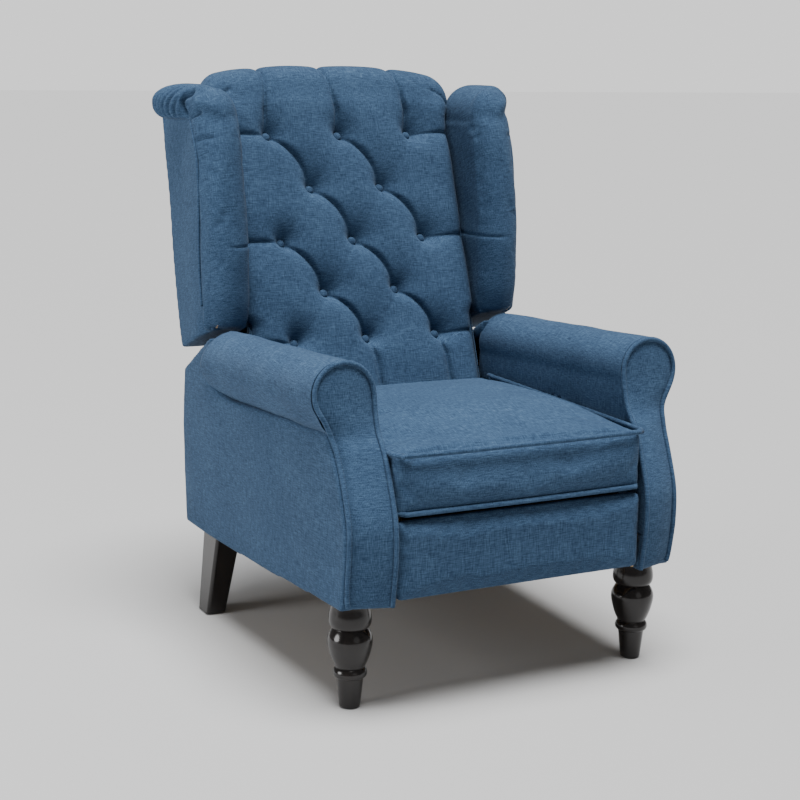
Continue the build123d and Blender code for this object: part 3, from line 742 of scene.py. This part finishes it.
def arm_roll():
    """The arm's roll and inner face, one skin from the seam under the roll to below the seat."""
    axis_z = ROLL_FRONT[1]
    turn = np.linspace(radians(-32), radians(197), 46)
    ring = [(ROLL_X + ROLL_R * cos(a), ROLL_R * sin(a)) for a in turn]
    outside = curve_through(((0.3150, 0.457 - axis_z), (0.3265, 0.469 - axis_z), ring[0]), 10)[:-1]
    inside = curve_through((ring[-1], (0.2355, -0.042), (0.2365, -0.075)), 8)[1:]
    down = [(ARM_INNER + 0.0005, z - axis_z) for z in np.linspace(0.432, 0.248, 22)]
    back_up = [(PANEL_BACK, z - axis_z) for z in np.linspace(0.248, 0.44, 16)]
    under = curve_through(((PANEL_BACK, 0.442 - axis_z), (0.262, 0.464 - axis_z),
                           (0.298, 0.450 - axis_z)), 12)
    section = np.vstack((outside, ring, inside, down, back_up, under))
    x, z = section[:, 0], section[:, 1] + axis_z
    front = facing_y(np.clip(z, 0.18, 0.58)) + set_back(x, z) + 0.004
    rear = np.where(x > ROLL_X, np.interp(z + 0.001, ROLL_TAIL[:, 0], ROLL_TAIL[:, 1]), ROLL_TAIL_INNER)
    rear = np.where(z < 0.44, PANEL_REAR, rear)
    rings = []
    for t in np.linspace(0, 1, 110):
        y = front + t * (rear - front)
        share = np.clip((y - ROLL_FRONT[0]) / (ROLL_REAR[0] - ROLL_FRONT[0]), 0, 1.0)
        fall = np.where(z > ROLL_FOOT, share * (ROLL_REAR[1] - ROLL_FRONT[1]), 0)
        rings.append(np.stack((x, y, z + fall), axis=1))
    along = np.roll(section, -1, axis=0) - np.roll(section, 1, axis=0)
    inward = np.stack((-along[:, 1], along[:, 0]), axis=1) / np.linalg.norm(along, axis=1)[:, None]
    tuck = np.stack((0.002 * inward[:, 0], np.full(len(inward), 0.004), 0.002 * inward[:, 1]), axis=1)
    tucked = rings[0] + tuck
    deep = tucked.copy()
    deep[:, 1] = -0.300
    return lofted("right_arm_roll_cover", [deep, tucked, *rings])


def outer_side():
    """The arm's outer side, rear and sloping rear top, blended into one padded skin."""
    side_outline = [(facing_y(z) + 0.020, z) for z in np.linspace(0.179, 0.456, 14)]
    side_outline += [(-0.227, 0.4535), (-0.087, 0.4465), (0.045, 0.4405), (0.104, 0.446), (0.130, 0.456),
                     (0.155, 0.482), (0.158, 0.513), (0.142, 0.538), (0.277, 0.461), (0.284, 0.40),
                     (0.287, 0.28), (0.279, 0.170), (0.275, 0.161), (0.206, 0.1625), (-0.067, 0.166),
                     (-0.242, 0.174), (-0.361, 0.179)]
    side = shell_from_outline("side", side_outline, 0.298, 0.3215)
    top_outline = [(0.140, 0.537), (0.277, 0.461), (0.279, 0.448), (0.255, 0.448), (0.140, 0.515)]
    top = shell_from_outline("top", top_outline, 0.237, 0.320)
    rear_outline = [(0.258, 0.166), (0.279, 0.166), (0.287, 0.28), (0.284, 0.40), (0.277, 0.461),
                    (0.256, 0.461)]
    rear = shell_from_outline("rear", rear_outline, 0.237, 0.320)
    skin = remeshed(joined("right_arm_side", [side, top, rear]), 0.005, 3)
    co = vertices(skin)
    facing_out = np.clip(normals(skin)[:, 0], 0, 1)
    middle = smooth((co[:, 1] + 0.40) / 0.1) * smooth((0.29 - co[:, 1]) / 0.06)
    middle *= smooth((co[:, 2] - 0.155) / 0.05) * smooth((0.47 - co[:, 2]) / 0.05)
    flare = -0.007 + 0.017 * smooth((co[:, 1] + 0.44) / 0.75)
    co[:, 0] += 0.0030 * facing_out * middle + flare * smooth((co[:, 0] - 0.25) / 0.05)
    set_vertices(skin, co)
    return skin


FACING_HEAD = (0.2885, 0.518)            # (x, z) of the middle of the facing's round head
FACING_R = 0.051
FACING_INNER = 0.2368
HEAD_JOIN = 0.492                        # height where the outer edge runs into the round head
FACING_OUTER = ((0.187, 0.3040), (0.20, 0.3070), (0.25, 0.3085), (0.32, 0.3075), (0.39, 0.3075),
                (0.43, 0.3095), (0.456, 0.3150), (0.475, 0.3230), (HEAD_JOIN, 0.3325))   # (z, x)
FACING_FOOT = 0.1835
FACING_PUFF = 0.0085


def facing_edges(z):
    """The facing's inner and outer edge in X at a height."""
    rise = sqrt(max(0.0, FACING_R ** 2 - (z - FACING_HEAD[1]) ** 2))
    inner = FACING_HEAD[0] - rise if z > FACING_HEAD[1] else FACING_INNER
    outer = FACING_HEAD[0] + rise if z > HEAD_JOIN else float(at_height(FACING_OUTER, z))
    return inner, outer


def set_back(x, z):
    """How much further back the facing's outer edge stands than its inner edge, below the roll."""
    low_down = smooth((0.49 - z) / 0.08)
    return low_down * (-0.006 + 0.023 * np.clip((x - ARM_INNER) / 0.075, 0, 1.1))


def facing_piping():
    """The facing's edge, up its inner side, over the roll and down its outer side."""
    up = [(facing_edges(z)[0], z) for z in np.linspace(0.186, 0.516, 40)]
    over = [(FACING_HEAD[0] - FACING_R * cos(a), FACING_HEAD[1] + FACING_R * sin(a))
            for a in np.linspace(0.03, pi + 0.50, 44)]
    down = [(facing_edges(z)[1], z) for z in np.linspace(0.487, 0.188, 40)]
    x, z = curve_through((*up, *over, *down), 240).T
    return np.stack((x, facing_y(z) + set_back(x, z) + 0.0005, z), axis=1)


def facing(edge):
    """The padded front of the arm, inside its piping."""
    rings = []
    columns, thick = 34, 0.018
    top = FACING_HEAD[1] + FACING_R - 0.0006
    for t in np.linspace(0, 1, 110):
        crowded = t if t < 0.8 else 0.8 + 0.2 * sin((t - 0.8) / 0.2 * pi / 2)
        z = FACING_FOOT + (top - FACING_FOOT) * crowded
        inner, outer = facing_edges(z)
        x = np.linspace(inner, outer, columns)
        y = facing_y(z) + set_back(x, z) + 0.0040
        rings.append(np.vstack((np.stack((x, y, np.full(columns, z)), axis=1),
                                np.stack((x, y + thick, np.full(columns, z)), axis=1)[::-1])))
    skin = lofted("right_arm_facing_cover", rings)
    co = vertices(skin)
    sides = nearest_on(edge, co)[0]
    foot = np.clip((co[:, 2] - FACING_FOOT) / 0.016, 0, 1)
    front = normals(skin)[:, 1] < -0.3
    co[:, 1] -= np.where(front, FACING_PUFF * (1 - np.exp(-sides / 0.014)) * np.sqrt(foot), 0)
    set_vertices(skin, co)
    return skin


roll = rumpled(arm_roll(), 0.0008, 0.12, 3)
side = rumpled(outer_side(), 0.0007, 0.15, 4)
piping_path = facing_piping()
front = rumpled(facing(piping_path), 0.0005, 0.10, 6)
piping = tube("right_facing_piping", piping_path, PIPING_R)
for piece, stem, cad, fill in ((roll, "arm_roll_cover", ("arm_roll",), 0.8),
                               (side, "arm_side", ("arm_outer_panel",), 0.3),
                               (front, "arm_facing_cover", ("arm_facing",), 0.5),
                               (piping, "facing_piping", (), None)):
    other = mirrored(piece, f"left_{stem}")
    dress(piece, "base", *(f"right_{node}" for node in cad), fill=fill)
    dress(other, "base", *(f"left_{node}" for node in cad), fill=fill)
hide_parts("arm_inner_panels")
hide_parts("arm_rear_pads", "arm_rear_panels")

# ---------------------------------------------------------------- wings, made on the right and mirrored
# tables of (z, y) up the wing
WING_FRONT = ((0.545, 0.144), (0.60, 0.131), (0.68, 0.130), (0.77, 0.140), (0.85, 0.155), (0.90, 0.166),
              (0.93, 0.180), (0.965, 0.205))
WING_SEAM = ((0.540, 0.170), (0.62, 0.185), (0.68, 0.190), (0.80, 0.190), (0.86, 0.199), (0.90, 0.215),
             (0.93, 0.234))
WING_REAR = ((0.497, 0.299), (0.56, 0.319), (0.68, 0.343), (0.80, 0.363), (0.90, 0.389), (0.935, 0.397))
WING_INNER = 0.244
WING_OUTER = 0.3275
NOSE_X, NOSE_DEEP = 0.283, 0.037         # the wing's rounded front edge
WING_FOOT = 0.5515                       # height of the lower edge under the wing's front
WING_TOP = 0.930                         # where the wing's upright part ends and its scroll begins
WING_HEAD = 0.955                        # height of the scroll's axis
ARCH_FOOT, ARCH_RISE = 0.925, 0.063      # where the scroll's arch springs from, and its height
ARCH_X = 0.3085                          # X of the arch's crest, behind its narrow front
SCROLL_FRONT, SCROLL_REAR = 0.1785, 0.348
SCROLL_MIDDLE = (0.310, 0.950)           # (x, z)
# tables of (y, x) along the scroll
SCROLL_INNER = ((0.178, 0.281), (0.184, 0.266), (0.190, 0.2565), (0.205, 0.2461), (0.217, 0.244),
                (0.348, 0.244))
SCROLL_OUTER = ((0.178, 0.288), (0.184, 0.300), (0.190, 0.3075), (0.209, 0.322), (0.222, 0.3275),
                (0.236, 0.330), (0.252, 0.346), (0.275, 0.362), (0.300, 0.3685), (0.348, 0.3685))


def pad_face_y(z):
    """The back pad's nominal front face."""
    return PAD_FOOT[0] + (z - PAD_FOOT[1]) * np.tan(RAKE)


def wing_underside(y):
    """The wing's lower edge: level under its front, falling towards the rear."""
    return WING_FOOT - 0.40 * np.maximum(0, y - 0.158)


def wing_section(z):
    """The padded part of the wing seen from above at a height, as (x, y) points."""
    front_y, seam_y = at_height(WING_FRONT, z), at_height(WING_SEAM, min(z, 0.928))
    rear_y = pad_face_y(z) + 0.050
    turn = np.linspace(0, pi / 2, 14)
    inner_x = NOSE_X - (NOSE_X - WING_INNER) * np.cos(turn)
    inner = np.stack((inner_x, front_y + NOSE_DEEP - NOSE_DEEP * np.sin(turn)), axis=1)
    halfway_y = (seam_y + front_y + 0.040) / 2
    outer = curve_through(((NOSE_X, front_y), (0.3070, front_y + 0.010), (0.3220, front_y + 0.029),
                           (0.3288, halfway_y), (WING_OUTER - 0.001, seam_y)), 20)[1:]
    flank = np.stack((np.full(14, WING_INNER), np.linspace(rear_y, front_y + 0.038, 14)), axis=1)
    closing = np.array(((0.322, seam_y + 0.016), (0.306, seam_y + 0.018), (0.300, rear_y)))
    return np.vstack((flank, inner, outer, closing))


def wing_body():
    """The upright part of the wing, drawn in slightly round its lower edge."""
    rings = []
    for t in np.linspace(0, 1, 84):
        section = wing_section(WING_FOOT + t * (WING_TOP - WING_FOOT))
        tuck = 0.010 * (1 - sqrt(1 - (1 - min(t * 40, 1)) ** 2))
        middle = section.mean(axis=0)
        reach = np.linalg.norm(section - middle, axis=1)[:, None]
        section = section + (middle - section) / reach * tuck
        low_z = wing_underside(section[:, 1])
        rings.append(np.column_stack((section, low_z + t * (WING_TOP - low_z))))
    return lofted("wing_body", rings)


def scroll_section(y):
    """The scroll's outline at a place along it: an arch that curls under on its outer side."""
    inner_x, outer_x = float(at_height(SCROLL_INNER, y)), float(at_height(SCROLL_OUTER, y))
    rise = ARCH_RISE * sqrt(1 - min(1, max(0, (0.252 - y) / 0.074)) ** 2)
    crest_x = 0.5 * (inner_x + outer_x) if y < 0.22 else ARCH_X
    crest_z = ARCH_FOOT + rise
    turn = np.linspace(pi, pi / 2, 20)
    arch_x = crest_x + (crest_x - inner_x) * np.cos(turn)
    arch_z = ARCH_FOOT + (rise + 0.0005) * np.sin(turn)
    turn = np.linspace(pi / 2, -pi / 2, 30)
    over = np.sin(turn) > 0
    curl = min(0.027, 0.5 * (outer_x - crest_x))
    curl_x = np.where(over, crest_x + (outer_x - crest_x) * np.cos(turn),
                      outer_x - curl + curl * np.cos(turn))
    curl_z = WING_HEAD + np.where(over, max(crest_z - WING_HEAD, 0.0), 0.031) * np.sin(turn)
    x = np.concatenate((arch_x, curl_x, (0.292, 0.262)))
    z = np.concatenate((arch_z, np.minimum(curl_z, crest_z), (0.922, 0.912)))
    closing = 0.45 + 0.55 * sqrt(1 - min(1, max(0, (y - 0.326) / 0.0225)) ** 2)
    middle_x, middle_z = SCROLL_MIDDLE
    return np.column_stack((middle_x + (x - middle_x) * closing, np.full(len(x), y),
                            middle_z + (z - middle_z) * closing))


def wing_pad():
    """The wing's padded inside and front, with the scroll that rolls outward over its top."""
    rings = [scroll_section(y) for y in np.linspace(SCROLL_FRONT, SCROLL_REAR, 46)]
    return remeshed(joined("right_wing_pad", [wing_body(), lofted("wing_scroll", rings)]), 0.0042, 5)


def wing_pleats(skin):
    """Pleats where the fabric gathers over the scroll, and the folds at the front of it."""
    co, out = vertices(skin), normals(skin)
    over = smooth((co[:, 0] - 0.316) / 0.02) * smooth((co[:, 2] - 0.922) / 0.01)
    over *= smooth((co[:, 1] - 0.246) / 0.012) * smooth((0.338 - co[:, 1]) / 0.02)
    lean = co[:, 1] + 0.35 * (co[:, 2] - 0.95)
    ripple = np.abs(np.sin(lean * pi / 0.0128)) ** 0.6
    set_vertices(skin, co - out * (0.0060 * over * (1 - ripple))[:, None])
    folds = ((((0.329, 0.236, 0.926), (0.340, 0.241, 0.944), (0.344, 0.236, 0.962), (0.334, 0.228, 0.978),
               (0.320, 0.226, 0.986)), 0.0120, 0.0045),
             (((0.328, 0.234, 0.924), (0.322, 0.214, 0.934), (0.310, 0.204, 0.941)), 0.0075, 0.0036),
             (((0.329, 0.208, 0.886), (0.318, 0.186, 0.892), (0.300, 0.173, 0.894)), 0.0036, 0.0036),
             (((0.300, 0.140, 0.700), (0.283, 0.131, 0.700), (0.262, 0.137, 0.700), (0.247, 0.158, 0.700),
               (0.243, 0.190, 0.700), (0.243, 0.270, 0.700)), 0.0030, 0.0024))
    for path, depth, width in folds:
        groove(skin, on_skin(skin, curve_through(path, 20)), depth, width, fade=True)
    return skin


def wing_outer():
    """The wing's flat outer panel, from the seam behind the pad to the rear edge."""
    front_line = [(at_height(WING_SEAM, z) + 0.002, z) for z in np.linspace(0.546, WING_TOP, 14)]
    rear_line = [(at_height(WING_REAR, z), z) for z in np.linspace(WING_TOP, 0.497, 12)]
    panel = shell_from_outline("panel", [*front_line, *rear_line], 0.300, 0.3255)
    sole_outline = [(0.164, 0.5485), (0.164, 0.557), (0.301, 0.504), (0.299, 0.4945)]
    sole = shell_from_outline("sole", sole_outline, 0.246, 0.3250)
    skin = remeshed(joined("right_wing_outer", [panel, sole]), 0.0045, 3)
    co = vertices(skin)
    bow = smooth((co[:, 1] - at_height(WING_SEAM, 0.7)) / 0.05) * smooth((0.92 - co[:, 2]) / 0.06)
    co[:, 0] += 0.0020 * bow * np.clip(normals(skin)[:, 0], 0, 1)
    corner = smooth((0.215 - co[:, 1]) / 0.045) * smooth((0.590 - co[:, 2]) / 0.040)
    co[:, 0] -= 0.010 * corner * smooth((co[:, 0] - 0.285) / 0.035)
    set_vertices(skin, co)
    return skin


pad = wing_pad()
held = (vertices(pad)[:, 0] > 0.3235) | (vertices(pad)[:, 2] > 0.915)
pad = wing_pleats(subdivided(inflate(pad, pressure=2.5, cap=0.0022, pinned=held, spare=0.005)))
pad = rumpled(pad, 0.0008, 0.09, 8)
outer = rumpled(wing_outer(), 0.0006, 0.15, 9)
seam_path = [(WING_OUTER + 0.0016, at_height(WING_SEAM, z), z) for z in np.linspace(0.590, 0.922, 60)]
seam = tube("right_wing_seam", seam_path, 0.0028)
for piece, stem, cad, fill in ((pad, "wing_cover", ("wing_pad", "wing_scroll"), 0.8),
                               (outer, "wing_outer_cover", ("wing_outer_panel",), 0.2),
                               (seam, "wing_seam", (), None)):
    other = mirrored(piece, f"left_{stem}")
    piece.name = f"right_{stem}"
    dress(piece, "back", *(f"right_{node}" for node in cad), fill=fill)
    dress(other, "back", *(f"left_{node}" for node in cad), fill=fill)

# ---------------------------------------------------------------- outer back and rear cover
OUTER_BACK = ((0.282, 0.2815), (0.306, 0.288), (0.497, 0.299), (0.70, 0.344), (0.912, 0.391),
              (0.945, 0.399))            # (z, y)
LOW_HALF, HIGH_HALF = 0.2300, 0.3275     # half its width between the arms, and above them


def outer_back():
    """The flat rear of the back, narrow between the arms and rounded round to the wings above them."""
    rings = []
    columns, round_off = 61, 0.040
    levels = [(z, LOW_HALF) for z in np.linspace(0.284, 0.503, 24)]
    levels += [(z, HIGH_HALF) for z in np.linspace(0.506, 0.938, 45)]
    for z, half in levels:
        x = half * np.linspace(-1, 1, columns)
        rear_y = at_height(OUTER_BACK, z) + 0.002
        wing_y = at_height(WING_REAR, z) - 0.004 if half == HIGH_HALF else rear_y - 0.006
        bend = smooth((np.abs(x) - (half - round_off)) / round_off) ** 1.2
        y = rear_y - (rear_y - wing_y) * bend
        inner_y = np.maximum(y - 0.014, wing_y - 0.012)
        rings.append(np.vstack((np.stack((x, y, np.full(columns, z)), axis=1),
                                np.stack((x, inner_y, np.full(columns, z)), axis=1)[::-1])))
    skin = remeshed(lofted("outer_back_cover", rings), 0.005, 4)
    return rumpled(skin, 0.0008, 0.2, 12)


dress(outer_back(), "back", "outer_back_panel", fill=0.2)
low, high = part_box("rear_rail_cover")
rear_cover = block("rear_base_cover", low, (high.x, high.y + 0.002, high.z), 0.0035, 0.004, 1)
dress(rumpled(rear_cover, 0.0004, 0.1, 14), "base", "rear_rail_cover")

# ---------------------------------------------------------------- studio, camera and lights
FLOOR_HALF, FLOOR_Z = 60, -0.0006
corners = ((-FLOOR_HALF, -FLOOR_HALF), (FLOOR_HALF, -FLOOR_HALF), (FLOOR_HALF, FLOOR_HALF),
           (-FLOOR_HALF, FLOOR_HALF))
floor = new_mesh("floor", [(x, y, FLOOR_Z) for x, y in corners], [(0, 1, 2, 3)])
paper = Material("pale_floor")
socket_value(paper.shader, Roughness=0.9, Specular_IOR_Level=0.1)
paper.shader.inputs["Base Color"].default_value = (0.45, 0.45, 0.45, 1)
floor.data.materials.append(paper.material)

world = bpy.data.worlds.new("studio")
world.use_nodes = True
sky = world.node_tree.nodes["Background"]
sky.inputs["Color"].default_value = (1.0, 1.0, 1.0, 1)
rays = world.node_tree.nodes.new("ShaderNodeLightPath")
strength = world.node_tree.nodes.new("ShaderNodeMix")
strength.inputs["A"].default_value = 0.16        # as light on the chair
strength.inputs["B"].default_value = 1.15        # as the backdrop that the camera sees
world.node_tree.links.new(rays.outputs["Is Camera Ray"], strength.inputs["Factor"])
world.node_tree.links.new(strength.outputs["Result"], sky.inputs["Strength"])
bpy.context.scene.world = world


def light(name, kind, place, power, **values):
    """A lamp that points at the middle of the chair."""
    lamp = bpy.data.lights.new(name, kind)
    lamp.energy = power
    for key, value in values.items():
        setattr(lamp, key, value)
    piece = bpy.data.objects.new(name, lamp)
    piece.location = place
    piece.rotation_euler = (Vector((0, 0, 0.5)) - Vector(place)).to_track_quat("-Z", "Y").to_euler()
    bpy.context.scene.collection.objects.link(piece)


light("overhead", "SUN", (0.05, -0.45, 3.5), 7.0, angle=radians(35))
light("side", "AREA", (-3.3, 0.2, 1.1), 62, shape="DISK", size=1.6)
light("fill", "AREA", (0.4, -3.8, 1.5), 5, shape="DISK", size=2.0)

CAMERA_PLACE = (-1.36626, -2.65467, 1.02278)
YAW, PITCH, ROLL = radians(27.01), radians(11.37), radians(0.6276)
SENSOR_WIDTH = 36.0                      # mm
FOCAL_SHARE = 1658.83 / 800              # focal length over the picture's width
ahead = Vector((sin(YAW) * cos(PITCH), cos(YAW) * cos(PITCH), -sin(PITCH)))
right = Vector((cos(YAW), -sin(YAW), 0))
upward = right.cross(ahead)
turned_right = cos(ROLL) * right + sin(ROLL) * upward
turned_up = -sin(ROLL) * right + cos(ROLL) * upward
lens = bpy.data.cameras.new("camera")
lens.sensor_width = SENSOR_WIDTH
lens.lens = SENSOR_WIDTH * FOCAL_SHARE
camera = bpy.data.objects.new("camera", lens)
axes = Matrix((turned_right, turned_up, -ahead)).transposed()
camera.matrix_world = Matrix.Translation(CAMERA_PLACE) @ axes.to_4x4()
bpy.context.scene.collection.objects.link(camera)
bpy.context.scene.camera = camera
